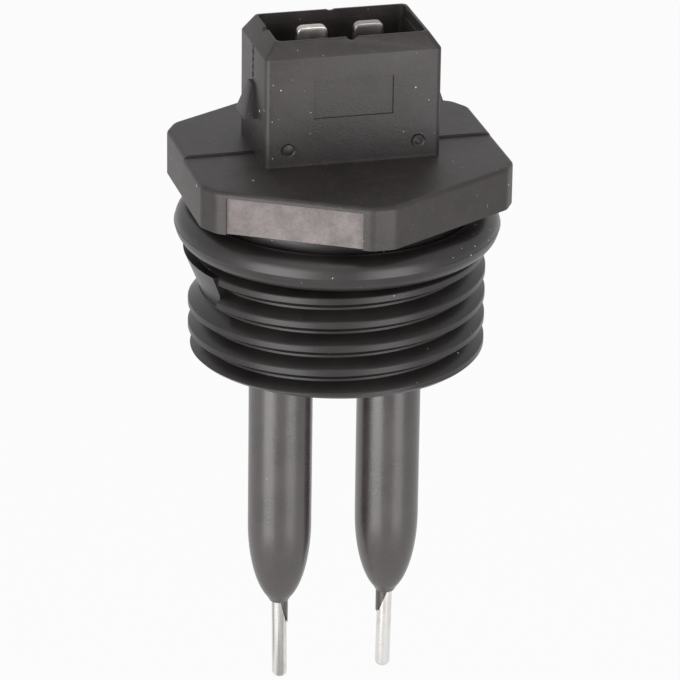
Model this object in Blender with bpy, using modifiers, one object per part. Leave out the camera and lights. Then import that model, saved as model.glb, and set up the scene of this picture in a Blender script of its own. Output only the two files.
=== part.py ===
# Coolant level sensor: a hexagon-headed, coarsely threaded plug with a two-blade socket on top
# and two insulated probe rods below, each ending in a bare electrode tip.
# Metres, +Z up. The thread's axis is Z, and z = 0 is the underside of the hexagon, where the
# sealing ring is clamped. The socket's long side runs along X and its front faces -Y.

import bpy
import bmesh
from math import cos, pi, radians, sin, sqrt, tan
from mathutils import Matrix, Vector

# Hexagon head
ACROSS_FLATS = 0.0276
HEAD_HEIGHT = 0.0038
CORNER_CUT = 0.00057            # taken off each sharp corner, square to its bisector
MOULD_MISMATCH = 0.0001         # the back mould half is this much smaller on every flat
MOULD_STEP = 0.0002             # and this much higher on top
HEAD_EDGE_ROUND = 0.0003
PAD_LENGTH = 0.0120             # rough-textured sunk pad on the front left flat
PAD_HEIGHT = 0.0033
PAD_DEPTH = 0.0003

# Threaded barrel
THREAD_DIAMETER = 0.0260
THREAD_DEPTH = 0.00122
THREAD_PITCH = 0.0022
CREST_WIDTH = 0.0006
FLANK_ANGLE = 30.0              # degrees from square to the axis
FIRST_CREST_DROP = 0.00543      # from the seat to the middle of the first crest, at the front
BARREL_LENGTH = 0.01455
END_CHAMFER = 0.0003
SHOULDER_FROM = 150.0           # bearings in degrees from +X: the first groove starts on the left
SHOULDER_TO = 203.0             # behind a tapered shoulder between these two
SHOULDER_TOP = 0.0054           # depths below the seat
SHOULDER_BOTTOM = 0.0090
SHOULDER_RADIUS = 0.01275       # at this depth, and tapering inwards below it
SHOULDER_RADIUS_DEPTH = 0.0070
SHOULDER_TAPER = 0.42           # inwards for each unit downwards
CORE_RECESS_DEPTH = 0.0018      # shallow core-out of the barrel's end
CORE_WALL = 0.0017              # left around the recess, inside the thread's root
SLEEVE_BOSS_WALL = 0.0012       # left around each sleeve in the recess

# Sealing ring
RING_OUTER_DIAMETER = 0.02845
RING_SECTION = 0.0032
RING_DROP = 0.00300             # from the seat to the middle of the ring's section

# Probe rods
ROD_SPACING = 0.00985
SLEEVE_DIAMETER = 0.00566
SLEEVE_STRAIGHT_END = 0.03155   # depth below the seat at which the rounded nose starts
NOSE_LENGTH = 0.0078
NOSE_END_RADIUS = 0.0011
SLEEVE_TOP = 0.0006             # height above the seat, inside the head
PIN_DIAMETER = 0.0014
PIN_END = 0.0468                # depth of the electrode's tip below the seat
PIN_SPACING_AT_TIP = 0.0096
PIN_TOP = 0.0036
TONGUE_LENGTH_LEFT = 0.0028     # the thin quill of the sleeve that runs down beside the pin
TONGUE_LENGTH_RIGHT = 0.0025
TONGUE_WALL = 0.00016

# Socket
SOCKET_LENGTH = 0.0155
SOCKET_DEPTH = 0.0092
SOCKET_SETBACK = 0.0004         # the socket sits this much behind the thread's axis
SOCKET_SHIFT = 0.0002           # and this much to its right
SOCKET_RIM = 0.0149             # height of the rim above the seat
RIM_CHAMFER_HEIGHT = 0.0014
RIM_CHAMFER_ENDS = 0.0010
RIM_CHAMFER_SIDES = 0.00075
RIM_WIDTH = 0.00025
SOCKET_CORNER = 0.0005
SOCKET_FLOOR = 0.0056
NICK_WIDTH = 0.0009
NICK_DEPTH = 0.0004
LUG_WIDTH = 0.0032
LUG_TOP_WIDTH = 0.0012
LUG_PROUD = 0.00115
LUG_TOP_PROUD = 0.0003
LUG_BOTTOM = 0.0073
LUG_TOP = 0.0102
PANEL_LENGTH = 0.0070
PANEL_BOTTOM = 0.0080
PANEL_TOP = 0.01145
PANEL_SINK = 0.00015
MARK_SPACING = 0.0115
MARK_HEIGHT = 0.00535
MARK_DIAMETER = 0.0012
MARK_PROUD = 0.00015

# Blade terminals
BLADE_SPACING = 0.0050
BLADE_WIDTH = 0.0027
BLADE_THICKNESS = 0.0008
BLADE_TIP = 0.0150
BLADE_CORNER = 0.00055
BLADE_EDGE = 0.00012
ARM_BOTTOM = 0.0022
ARM_TOP = 0.0034
CRIMP_BOTTOM = 0.0014
CRIMP_TOP = 0.0034
CRIMP_WALL = 0.00045
CRIMP_SLIT = 0.0005

# Clearances
CLEARANCE = 0.0003              # between pieces that touch
PIN_CLEARANCE = 0.0002          # between a pin and the sleeve or crimp around it
RING_CLEARANCE = 0.0003

# Facets of the round pieces
BARREL_SEGMENTS = 60
FACET_TURN = 2.6                # degrees by which what is cut around the barrel is turned from its facets
SHOULDER_SEGMENTS = 9
RING_SEGMENTS = 72
RING_SECTION_SEGMENTS = 16
ROD_SEGMENTS = 32
PIN_SEGMENTS = 16
NOSE_STEPS = 9

APOTHEM = ACROSS_FLATS / 2
THREAD_RADIUS = THREAD_DIAMETER / 2
ROOT_RADIUS = THREAD_RADIUS - THREAD_DEPTH
RING_MIDDLE_RADIUS = (RING_OUTER_DIAMETER - RING_SECTION) / 2
NECK_RADIUS = RING_MIDDLE_RADIUS - RING_SECTION / 2 - RING_CLEARANCE
SLEEVE_RADIUS = SLEEVE_DIAMETER / 2
PIN_RADIUS = PIN_DIAMETER / 2
CRIMP_INNER = PIN_RADIUS + PIN_CLEARANCE
CRIMP_OUTER = CRIMP_INNER + CRIMP_WALL
MOUTH_HALF_LENGTH = SOCKET_LENGTH / 2 - RIM_CHAMFER_ENDS - RIM_WIDTH
MOUTH_HALF_DEPTH = SOCKET_DEPTH / 2 - RIM_CHAMFER_SIDES - RIM_WIDTH
OVERLAP = 0.0005                # how far joined shapes reach into each other
TRIM_OVERLAP = 0.0001           # how far a trim reaches past the fill that it trims
TONGUE_INSET = 0.00003          # keeps the tongue's faces off the bore's
BEYOND = 0.0020                 # how far a cutter reaches past what it cuts


def start_clean():
    for obj in list(bpy.data.objects):
        bpy.data.objects.remove(obj, do_unlink=True)


def new_collection(name):
    collection = bpy.data.collections.new(name)
    bpy.context.scene.collection.children.link(collection)
    return collection


def new_material(name, color, roughness, metallic):
    material = bpy.data.materials.new(name)
    material.use_nodes = True
    shader = material.node_tree.nodes["Principled BSDF"]
    shader.inputs["Base Color"].default_value = (*color, 1.0)
    shader.inputs["Roughness"].default_value = roughness
    shader.inputs["Metallic"].default_value = metallic
    material.diffuse_color = (*color, 1.0)
    return material


def mesh_object(name, bm, collection):
    mesh = bpy.data.meshes.new(name)
    bm.to_mesh(mesh)
    bm.free()
    obj = bpy.data.objects.new(name, mesh)
    collection.objects.link(obj)
    return obj


def as_cutter(obj):
    obj.hide_render = True
    obj.display_type = "WIRE"
    return obj


def boolean(target, tool, operation):
    modifier = target.modifiers.new(tool.name, "BOOLEAN")
    modifier.operation = operation
    modifier.solver = "EXACT"
    modifier.object = tool


def smooth(obj, angle=35.0):
    obj.data.shade_smooth()
    obj.data.set_sharp_from_angle(angle=radians(angle))


def evaluated_bmesh(obj):
    """The object's mesh with its modifiers applied, as a bmesh."""
    depsgraph = bpy.context.evaluated_depsgraph_get()
    mesh = bpy.data.meshes.new_from_object(obj.evaluated_get(depsgraph))
    bm = bmesh.new()
    bm.from_mesh(mesh)
    bpy.data.meshes.remove(mesh)
    return bm


def box(name, low, high, collection, corner=0.0, corner_axis="Z"):
    """A block between two corners; its edges along corner_axis may be chamfered."""
    low, high = Vector(low), Vector(high)
    bm = bmesh.new()
    size = high - low
    place = Matrix.Translation((low + high) / 2) @ Matrix.Diagonal((size.x, size.y, size.z, 1.0))
    bmesh.ops.create_cube(bm, size=1.0, matrix=place)
    if corner:
        axis = "XYZ".index(corner_axis)
        edges = [e for e in bm.edges if abs((e.verts[0].co - e.verts[1].co)[axis]) > size[axis] / 2]
        bmesh.ops.bevel(bm, geom=edges, offset=corner, segments=1, affect="EDGES")
    return mesh_object(name, bm, collection)


def profile_mesh(name, points, closed, collection):
    """A chain of edges in the XZ plane, from (radius, height) pairs."""
    bm = bmesh.new()
    verts = [bm.verts.new((r, 0.0, z)) for r, z in points]
    for a, b in zip(verts, verts[1:]):
        bm.edges.new((a, b))
    if closed:
        bm.edges.new((verts[-1], verts[0]))
    return mesh_object(name, bm, collection)


def turned(name, points, segments, collection, closed=False):
    """A turned shape. The profile runs from top to bottom down its outer side."""
    obj = profile_mesh(name, points, closed, collection)
    screw = obj.modifiers.new("Turn", "SCREW")
    screw.axis = "Z"
    screw.angle = 2 * pi
    screw.steps = segments
    screw.render_steps = segments
    screw.use_merge_vertices = True
    screw.merge_threshold = 0.000001
    return obj


def swept(profile, closed, turns, rise, steps, collection):
    """A profile swept around the axis by so many turns while it rises, as a bmesh with open ends."""
    guide = profile_mesh("guide", profile, closed, collection)
    screw = guide.modifiers.new("Wind", "SCREW")
    screw.axis = "Z"
    screw.angle = 2 * pi * turns
    screw.screw_offset = rise
    screw.steps = steps
    screw.render_steps = steps
    bm = evaluated_bmesh(guide)
    bpy.data.objects.remove(guide, do_unlink=True)
    return bm


def swept_block(name, profile, turns, steps, collection):
    """A closed profile swept around the axis by part of a turn, its two ends capped."""
    bm = swept(profile, True, turns, 0.0, steps, collection)
    open_edges = [e for e in bm.edges if e.is_boundary]
    bmesh.ops.holes_fill(bm, edges=open_edges, sides=len(profile))
    bmesh.ops.recalc_face_normals(bm, faces=bm.faces)
    return mesh_object(name, bm, collection)


def cylinder(name, radius, low, high, x, y, segments, collection):
    bm = bmesh.new()
    place = Matrix.Translation((x, y, (low + high) / 2))
    bmesh.ops.create_cone(bm, cap_ends=True, segments=segments, radius1=radius, radius2=radius,
                          depth=high - low, matrix=place)
    return mesh_object(name, bm, collection)


def hexagon_outline(apothem):
    """A hexagon with flats at +X and -X and its corners cut off."""
    half_flat = apothem * tan(radians(30)) - CORNER_CUT / cos(radians(60))
    outline = []
    for face in range(6):
        angle = radians(60 * face)
        normal = Vector((cos(angle), sin(angle)))
        along = Vector((-sin(angle), cos(angle)))
        outline.append(normal * apothem - along * half_flat)
        outline.append(normal * apothem + along * half_flat)
    return outline


def hexagon_prism(name, apothem, low, high, collection):
    bm = bmesh.new()
    base = bm.faces.new([bm.verts.new((p.x, p.y, low)) for p in hexagon_outline(apothem)])
    swept = bmesh.ops.extrude_face_region(bm, geom=[base])["geom"]
    top = [v for v in swept if isinstance(v, bmesh.types.BMVert)]
    bmesh.ops.translate(bm, verts=top, vec=(0, 0, high - low))
    bmesh.ops.recalc_face_normals(bm, faces=bm.faces)
    rim = [e for e in bm.edges if all(abs(v.co.z - high) < 1e-7 for v in e.verts)]
    bmesh.ops.bevel(bm, geom=rim, offset=HEAD_EDGE_ROUND, segments=2, profile=0.5, affect="EDGES")
    return mesh_object(name, bm, collection)


def head_pieces(parts, cutters):
    """The two mould halves of the head, meeting with a small step on the plane y = 0."""
    reach = APOTHEM / cos(radians(30)) + BEYOND
    above = HEAD_HEIGHT + MOULD_STEP + BEYOND
    front = hexagon_prism("sensor_housing", APOTHEM, 0.0, HEAD_HEIGHT, parts)
    behind = box("behind_parting_plane", (-reach, 0.0, -BEYOND), (reach, reach, above), cutters)
    boolean(front, as_cutter(behind), "DIFFERENCE")
    back = hexagon_prism("head_back_half", APOTHEM - MOULD_MISMATCH, 0.0, HEAD_HEIGHT + MOULD_STEP, cutters)
    before = box("before_parting_plane", (-reach, -reach, -BEYOND), (reach, 0.0, above), cutters)
    boolean(back, as_cutter(before), "DIFFERENCE")
    return front, as_cutter(back)


def threaded_core(name, collection):
    """The barrel: root, flanks and crest of one pitch, wound up the axis and closed by a cone at each end."""
    half_pitch, half_crest = THREAD_PITCH / 2, CREST_WIDTH / 2
    half_base = half_crest + THREAD_DEPTH * tan(radians(FLANK_ANGLE))
    below_first = int((BARREL_LENGTH - FIRST_CREST_DROP) / THREAD_PITCH) + 2
    lowest = -FIRST_CREST_DROP - below_first * THREAD_PITCH
    section = [(ROOT_RADIUS, lowest - half_pitch), (ROOT_RADIUS, lowest - half_base),
               (THREAD_RADIUS, lowest - half_crest), (THREAD_RADIUS, lowest + half_crest),
               (ROOT_RADIUS, lowest + half_base), (ROOT_RADIUS, lowest + half_pitch)]
    turns = below_first + 1
    bm = swept(section, False, turns, THREAD_PITCH * turns, BARREL_SEGMENTS * turns, collection)
    bmesh.ops.remove_doubles(bm, verts=bm.verts, dist=0.000001)
    open_edges = [e for e in bm.edges if e.is_boundary]
    middle = (lowest - FIRST_CREST_DROP) / 2
    for at_top in (False, True):
        edges = [e for e in open_edges if (e.verts[0].co.z > middle) == at_top]
        heights = [v.co.z for e in edges for v in e.verts]
        apex = bm.verts.new((0.0, 0.0, max(heights) + half_pitch if at_top else min(heights) - half_pitch))
        for e in edges:
            bm.faces.new((e.verts[0], e.verts[1], apex))
    bmesh.ops.recalc_face_normals(bm, faces=bm.faces)
    bm.transform(Matrix.Rotation(radians(-90), 4, "Z"))
    return mesh_object(name, bm, collection)


def shoulder_radius(depth):
    return SHOULDER_RADIUS - (depth - SHOULDER_RADIUS_DEPTH) * SHOULDER_TAPER


def start_shoulder(cutters):
    """The tapered shoulder on the left behind which the groove starts: what it fills and what it trims."""
    turns = (SHOULDER_TO - SHOULDER_FROM) / 360
    top, bottom = shoulder_radius(SHOULDER_TOP), shoulder_radius(SHOULDER_BOTTOM)
    inner, outer = ROOT_RADIUS - OVERLAP, THREAD_RADIUS + BEYOND
    fill_profile = [(inner, -SHOULDER_TOP), (top + TRIM_OVERLAP, -SHOULDER_TOP),
                    (bottom + TRIM_OVERLAP, -SHOULDER_BOTTOM), (inner, -SHOULDER_BOTTOM)]
    fill = swept_block("shoulder_fill", fill_profile, turns, SHOULDER_SEGMENTS, cutters)
    high, low = SHOULDER_TOP - TRIM_OVERLAP, SHOULDER_BOTTOM + TRIM_OVERLAP
    trim_profile = [(shoulder_radius(high), -high), (outer, -high), (outer, -low), (shoulder_radius(low), -low)]
    trim = swept_block("shoulder_trim", trim_profile, turns, SHOULDER_SEGMENTS, cutters)
    for piece in (fill, trim):
        piece.data.transform(Matrix.Rotation(radians(SHOULDER_FROM), 4, "Z"))
    return as_cutter(fill), as_cutter(trim)


def neck_cutter(cutters):
    """Turned relief for the sealing ring; its sloping floor is where the thread runs out."""
    outside = THREAD_RADIUS + BEYOND
    slope = 0.4
    gap = RING_SECTION / 2 + RING_CLEARANCE
    floor_at_middle = -RING_DROP - gap * sqrt(1 + slope ** 2)
    floor_inside = floor_at_middle + slope * (RING_MIDDLE_RADIUS - NECK_RADIUS)
    floor_outside = floor_at_middle - slope * (outside - RING_MIDDLE_RADIUS)
    points = [(NECK_RADIUS, OVERLAP), (outside, OVERLAP), (outside, floor_outside), (NECK_RADIUS, floor_inside)]
    relief = turned("ring_relief", points, BARREL_SEGMENTS, cutters, closed=True)
    relief.rotation_euler.z = radians(FACET_TURN)
    return as_cutter(relief)


def neck_blank(cutters):
    """The solid neck between barrel and head, which the relief then turns down to its radius."""
    low = -RING_DROP - RING_SECTION - BEYOND
    blank = cylinder("neck_blank", NECK_RADIUS + OVERLAP, low, -CLEARANCE, 0.0, 0.0, BARREL_SEGMENTS, cutters)
    blank.rotation_euler.z = radians(FACET_TURN / 2)
    return as_cutter(blank)


def end_cutter(cutters):
    """Trims the barrel's end square, with the entry chamfer on the thread."""
    end_radius = THREAD_RADIUS - END_CHAMFER
    outside = THREAD_RADIUS + BEYOND
    top = -BARREL_LENGTH + END_CHAMFER + BEYOND
    bottom = -BARREL_LENGTH - 4 * THREAD_PITCH
    points = [(0.0, -BARREL_LENGTH), (end_radius, -BARREL_LENGTH), (end_radius + END_CHAMFER + BEYOND, top),
              (outside + BEYOND, top), (outside + BEYOND, bottom), (0.0, bottom)]
    cutter = turned("barrel_end", points, BARREL_SEGMENTS, cutters)
    cutter.rotation_euler.z = radians(FACET_TURN)
    return as_cutter(cutter)


def core_cutter(cutters):
    """The shallow recess in the barrel's end, around the two bosses that carry the sleeves."""
    radius = ROOT_RADIUS - CORE_WALL
    low, high = -BARREL_LENGTH - BEYOND, -BARREL_LENGTH + CORE_RECESS_DEPTH
    recess = cylinder("end_recess", radius, low, high, 0.0, 0.0, BARREL_SEGMENTS, cutters)
    boss_radius = SLEEVE_RADIUS + CLEARANCE + SLEEVE_BOSS_WALL
    for side in (-1, 1):
        x = side * ROD_SPACING / 2
        boss = cylinder("end_boss", boss_radius, low - BEYOND, high + BEYOND, x, 0.0, ROD_SEGMENTS, cutters)
        boolean(recess, as_cutter(boss), "DIFFERENCE")
    return as_cutter(recess)


def socket_wall(cutters):
    """The socket's outside: a block with chamfered corners that narrows to its rim."""
    low = HEAD_HEIGHT - OVERLAP
    shoulder = SOCKET_RIM - RIM_CHAMFER_HEIGHT
    half_length, half_depth = SOCKET_LENGTH / 2, SOCKET_DEPTH / 2
    wall = box("socket_wall", (SOCKET_SHIFT - half_length, SOCKET_SETBACK - half_depth, low),
               (SOCKET_SHIFT + half_length, SOCKET_SETBACK + half_depth, shoulder), cutters, corner=SOCKET_CORNER)
    bm = bmesh.new()
    bm.from_mesh(wall.data)
    top = max(bm.faces, key=lambda f: f.calc_center_median().z)
    swept = bmesh.ops.extrude_face_region(bm, geom=[top])["geom"]
    verts = [v for v in swept if isinstance(v, bmesh.types.BMVert)]
    narrow_x = (half_length - RIM_CHAMFER_ENDS) / half_length
    narrow_y = (half_depth - RIM_CHAMFER_SIDES) / half_depth
    for v in verts:
        v.co.x = SOCKET_SHIFT + (v.co.x - SOCKET_SHIFT) * narrow_x
        v.co.y = SOCKET_SETBACK + (v.co.y - SOCKET_SETBACK) * narrow_y
        v.co.z = SOCKET_RIM
    bmesh.ops.delete(bm, geom=[top], context="FACES_ONLY")
    bm.to_mesh(wall.data)
    bm.free()
    return as_cutter(wall)


def socket_cavity(cutters):
    low = (SOCKET_SHIFT - MOUTH_HALF_LENGTH, SOCKET_SETBACK - MOUTH_HALF_DEPTH, SOCKET_FLOOR)
    high = (SOCKET_SHIFT + MOUTH_HALF_LENGTH, SOCKET_SETBACK + MOUTH_HALF_DEPTH, SOCKET_RIM + BEYOND)
    return as_cutter(box("socket_cavity", low, high, cutters, corner=SOCKET_CORNER))


def wedge(name, base_low, base_high, top_low, top_high, collection):
    """A block whose top rectangle differs from its base; each corner is given as x, y, z."""
    obj = box(name, base_low, (base_high[0], base_high[1], top_high[2]), collection)
    middle = (base_low[2] + top_high[2]) / 2
    centre_x = (base_low[0] + base_high[0]) / 2
    centre_y = (base_low[1] + base_high[1]) / 2
    for v in obj.data.vertices:
        if v.co.z > middle:
            v.co.x = top_low[0] if v.co.x < centre_x else top_high[0]
            v.co.y = top_low[1] if v.co.y < centre_y else top_high[1]
    return obj


def side_lug(side, cutters):
    """The latch ramp on one end of the socket: thin at the top, square underneath."""
    wall = SOCKET_LENGTH / 2
    root = SOCKET_SHIFT + side * (wall - OVERLAP)
    low, high = sorted((root, SOCKET_SHIFT + side * (wall + LUG_PROUD)))
    top_low, top_high = sorted((root, SOCKET_SHIFT + side * (wall + LUG_TOP_PROUD)))
    name = "lug_right" if side > 0 else "lug_left"
    return as_cutter(wedge(name, (low, SOCKET_SETBACK - LUG_WIDTH / 2, LUG_BOTTOM),
                           (high, SOCKET_SETBACK + LUG_WIDTH / 2, LUG_BOTTOM),
                           (top_low, SOCKET_SETBACK - LUG_TOP_WIDTH / 2, LUG_TOP),
                           (top_high, SOCKET_SETBACK + LUG_TOP_WIDTH / 2, LUG_TOP), cutters))


def rim_nick(name, along_x, position, cutters):
    """A V nick across one wall of the rim."""
    bm = bmesh.new()
    half = NICK_WIDTH / 2
    reach = RIM_CHAMFER_ENDS + RIM_WIDTH + OVERLAP
    top = SOCKET_RIM + NICK_DEPTH
    section = [(-half * 2, top), (0.0, SOCKET_RIM - NICK_DEPTH), (half * 2, top)]
    if along_x:
        verts = [bm.verts.new((position - reach, SOCKET_SETBACK + s, z)) for s, z in section]
        sweep = (2 * reach, 0, 0)
    else:
        verts = [bm.verts.new((SOCKET_SHIFT + s, position - reach, z)) for s, z in section]
        sweep = (0, 2 * reach, 0)
    face = bm.faces.new(verts)
    swept = bmesh.ops.extrude_face_region(bm, geom=[face])["geom"]
    bmesh.ops.translate(bm, verts=[v for v in swept if isinstance(v, bmesh.types.BMVert)], vec=sweep)
    bmesh.ops.recalc_face_normals(bm, faces=bm.faces)
    return as_cutter(mesh_object(name, bm, cutters))


def front_mark(x, cutters):
    """A small round moulded mark, low on the socket's front wall."""
    bm = bmesh.new()
    front = SOCKET_SETBACK - SOCKET_DEPTH / 2
    depth = OVERLAP + MARK_PROUD
    place = (Matrix.Translation((SOCKET_SHIFT + x, front + OVERLAP - depth / 2, MARK_HEIGHT))
             @ Matrix.Rotation(radians(90), 4, "X"))
    bmesh.ops.create_cone(bm, cap_ends=True, segments=12, radius1=MARK_DIAMETER / 2,
                          radius2=MARK_DIAMETER / 2 - MARK_PROUD, depth=depth, matrix=place)
    return as_cutter(mesh_object("front_mark", bm, cutters))


def flat_pad(cutters):
    """The sunk pad on the front left flat, open at the bottom edge."""
    half = PAD_LENGTH / 2
    pad = box("textured_pad", (-half, -PAD_DEPTH, -BEYOND), (half, BEYOND, PAD_HEIGHT), cutters)
    angle = radians(-120)
    turn = Matrix.Rotation(angle - radians(90), 4, "Z")
    pad.data.transform(Matrix.Translation((APOTHEM * cos(angle), APOTHEM * sin(angle), 0)) @ turn)
    return as_cutter(pad)


def label_panel(cutters):
    front = SOCKET_SETBACK - SOCKET_DEPTH / 2
    return as_cutter(box("label_panel", (SOCKET_SHIFT - PANEL_LENGTH / 2, front - BEYOND, PANEL_BOTTOM),
                         (SOCKET_SHIFT + PANEL_LENGTH / 2, front + PANEL_SINK, PANEL_TOP), cutters))


def blade_outline(grow, tip):
    """The stamped terminal seen from the front: blade, and the arm out to the crimp."""
    half = BLADE_WIDTH / 2 + grow
    middle = BLADE_SPACING / 2
    corner = BLADE_CORNER if not grow else 0.0
    arm_end = ROD_SPACING / 2 if grow else ROD_SPACING / 2 - CRIMP_INNER - CRIMP_WALL / 2
    low, high = ARM_BOTTOM - grow, ARM_TOP + grow
    points = [(middle - half, low), (arm_end, low), (arm_end, high), (middle + half, high)]
    if corner:
        points += [(middle + half, tip - corner), (middle + half - corner * 0.3, tip - corner * 0.3),
                   (middle + half - corner, tip), (middle - half + corner, tip),
                   (middle - half + corner * 0.3, tip - corner * 0.3), (middle - half, tip - corner)]
    else:
        points += [(middle + half, tip), (middle - half, tip)]
    return points


def stamped_plate(name, side, grow, tip, collection):
    """The terminal's outline as a plate; grow makes the slot that clears it."""
    half = BLADE_THICKNESS / 2 + grow
    bm = bmesh.new()
    face = bm.faces.new([bm.verts.new((side * x, -half, z)) for x, z in blade_outline(grow, tip)])
    swept = bmesh.ops.extrude_face_region(bm, geom=[face])["geom"]
    bmesh.ops.translate(bm, verts=[v for v in swept if isinstance(v, bmesh.types.BMVert)], vec=(0, 2 * half, 0))
    bmesh.ops.recalc_face_normals(bm, faces=bm.faces)
    if not grow:
        shoulder = BLADE_TIP - BLADE_CORNER - BLADE_EDGE
        edges = [e for e in bm.edges if all(v.co.z > shoulder for v in e.verts)
                 and abs(e.verts[0].co.y - e.verts[1].co.y) < BLADE_EDGE]
        bmesh.ops.bevel(bm, geom=edges, offset=BLADE_EDGE, segments=1, affect="EDGES")
    return mesh_object(name, bm, collection)


def blade_terminal(name, side, parts, cutters, material):
    """One stamped terminal: the blade, its arm, and an open crimp around the pin's end."""
    x = side * ROD_SPACING / 2
    blade = stamped_plate(name, side, 0.0, BLADE_TIP, parts)
    crimp_points = [(CRIMP_INNER, CRIMP_TOP), (CRIMP_OUTER, CRIMP_TOP), (CRIMP_OUTER, CRIMP_BOTTOM),
                    (CRIMP_INNER, CRIMP_BOTTOM)]
    crimp = turned(name + "_crimp", crimp_points, PIN_SEGMENTS, cutters, closed=True)
    crimp.location.x = x
    slit_low, slit_high = sorted((x, x + side * (CRIMP_OUTER + BEYOND)))
    slit = box(name + "_slit", (slit_low, -CRIMP_SLIT / 2, CRIMP_BOTTOM - BEYOND),
               (slit_high, CRIMP_SLIT / 2, CRIMP_TOP + BEYOND), cutters)
    boolean(crimp, as_cutter(slit), "DIFFERENCE")
    boolean(blade, as_cutter(crimp), "UNION")
    blade.data.materials.append(material)
    return blade


def cut_bores(target, cutters):
    """The bore of each sleeve, from the barrel's end to a little above the seat."""
    for side in (-1, 1):
        bore = cylinder("sleeve_bore", SLEEVE_RADIUS + CLEARANCE, -BARREL_LENGTH - BEYOND, SLEEVE_TOP + CLEARANCE,
                        side * ROD_SPACING / 2, 0.0, ROD_SEGMENTS, cutters)
        boolean(target, as_cutter(bore), "DIFFERENCE")


def build_barrel(parts, cutters, material):
    """The threaded barrel with its neck, from the seat down."""
    barrel = threaded_core("threaded_barrel", parts)
    boolean(barrel, neck_blank(cutters), "UNION")
    fill, trim = start_shoulder(cutters)
    boolean(barrel, fill, "UNION")
    boolean(barrel, trim, "DIFFERENCE")
    boolean(barrel, neck_cutter(cutters), "DIFFERENCE")
    boolean(barrel, end_cutter(cutters), "DIFFERENCE")
    boolean(barrel, core_cutter(cutters), "DIFFERENCE")
    cut_bores(barrel, cutters)
    barrel.data.materials.append(material)
    return barrel


def build_housing(parts, cutters, material):
    """The head with its plug socket, from the seat up."""
    housing, back = head_pieces(parts, cutters)
    boolean(housing, back, "UNION")
    boolean(housing, socket_wall(cutters), "UNION")
    for side in (-1, 1):
        boolean(housing, side_lug(side, cutters), "UNION")
        boolean(housing, front_mark(side * MARK_SPACING / 2, cutters), "UNION")
    boolean(housing, socket_cavity(cutters), "DIFFERENCE")
    boolean(housing, label_panel(cutters), "DIFFERENCE")
    boolean(housing, flat_pad(cutters), "DIFFERENCE")

    half_length, half_depth = SOCKET_LENGTH / 2, SOCKET_DEPTH / 2
    left, right = SOCKET_SHIFT - half_length, SOCKET_SHIFT + half_length
    boolean(housing, rim_nick("nick_front", False, SOCKET_SETBACK - half_depth, cutters), "DIFFERENCE")
    boolean(housing, rim_nick("nick_back", False, SOCKET_SETBACK + half_depth, cutters), "DIFFERENCE")
    boolean(housing, rim_nick("nick_left", True, left, cutters), "DIFFERENCE")
    boolean(housing, rim_nick("nick_right", True, right, cutters), "DIFFERENCE")

    cut_bores(housing, cutters)
    for side in (-1, 1):
        well = cylinder("crimp_well", CRIMP_OUTER + CLEARANCE, -OVERLAP, PIN_TOP + CLEARANCE,
                        side * ROD_SPACING / 2, 0.0, PIN_SEGMENTS, cutters)
        boolean(housing, as_cutter(well), "DIFFERENCE")
        slot = stamped_plate("blade_slot", side, CLEARANCE, SOCKET_FLOOR + OVERLAP, cutters)
        boolean(housing, as_cutter(slot), "DIFFERENCE")
    housing.data.materials.append(material)
    return housing


def build_ring(parts, material):
    """The sealing ring, a plain round-section ring on the neck under the head."""
    bpy.ops.mesh.primitive_torus_add(location=(0, 0, -RING_DROP), major_radius=RING_MIDDLE_RADIUS,
                                     minor_radius=RING_SECTION / 2, major_segments=RING_SEGMENTS,
                                     minor_segments=RING_SECTION_SEGMENTS)
    ring = bpy.context.object
    ring.name = "sealing_ring"
    for collection in list(ring.users_collection):
        collection.objects.unlink(ring)
    parts.objects.link(ring)
    ring.data.materials.append(material)
    smooth(ring)
    return ring


def nose_profile():
    """The sleeve's rounded nose: an elliptical arc from its full radius to the tip's radius."""
    last = sqrt(1 - (NOSE_END_RADIUS / SLEEVE_RADIUS) ** 2)
    points = []
    for step in range(NOSE_STEPS + 1):
        share = last * sin(pi / 2 * step / NOSE_STEPS)
        points.append((SLEEVE_RADIUS * sqrt(1 - share ** 2), -SLEEVE_STRAIGHT_END - NOSE_LENGTH * share))
    return points


def sleeve_tongue(name, side, tip, length, cutters):
    """A quill of the nose, left on the inner side of the pin, its end cut off on a slant."""
    inner = PIN_RADIUS + PIN_CLEARANCE + TONGUE_INSET
    outer = inner + TONGUE_WALL
    low = tip - length
    tube = turned(name, [(inner, tip + OVERLAP), (outer, tip + OVERLAP), (outer, low), (inner, low)],
                  ROD_SEGMENTS, cutters, closed=True)
    bm = bmesh.new()
    reach = outer + OVERLAP
    section = [(side * reach, tip - OVERLAP), (side * reach, low - BEYOND),
               (-side * reach, low - BEYOND), (-side * outer, low), (-side * outer / 3, tip - OVERLAP)]
    face = bm.faces.new([bm.verts.new((x, -reach, z)) for x, z in section])
    extruded = bmesh.ops.extrude_face_region(bm, geom=[face])["geom"]
    bmesh.ops.translate(bm, verts=[v for v in extruded if isinstance(v, bmesh.types.BMVert)], vec=(0, 2 * reach, 0))
    bmesh.ops.recalc_face_normals(bm, faces=bm.faces)
    slant = mesh_object(name + "_slant", bm, cutters)
    for piece in (tube, slant):
        piece.location.x = side * ROD_SPACING / 2
    boolean(tube, as_cutter(slant), "DIFFERENCE")
    return as_cutter(tube)


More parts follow.
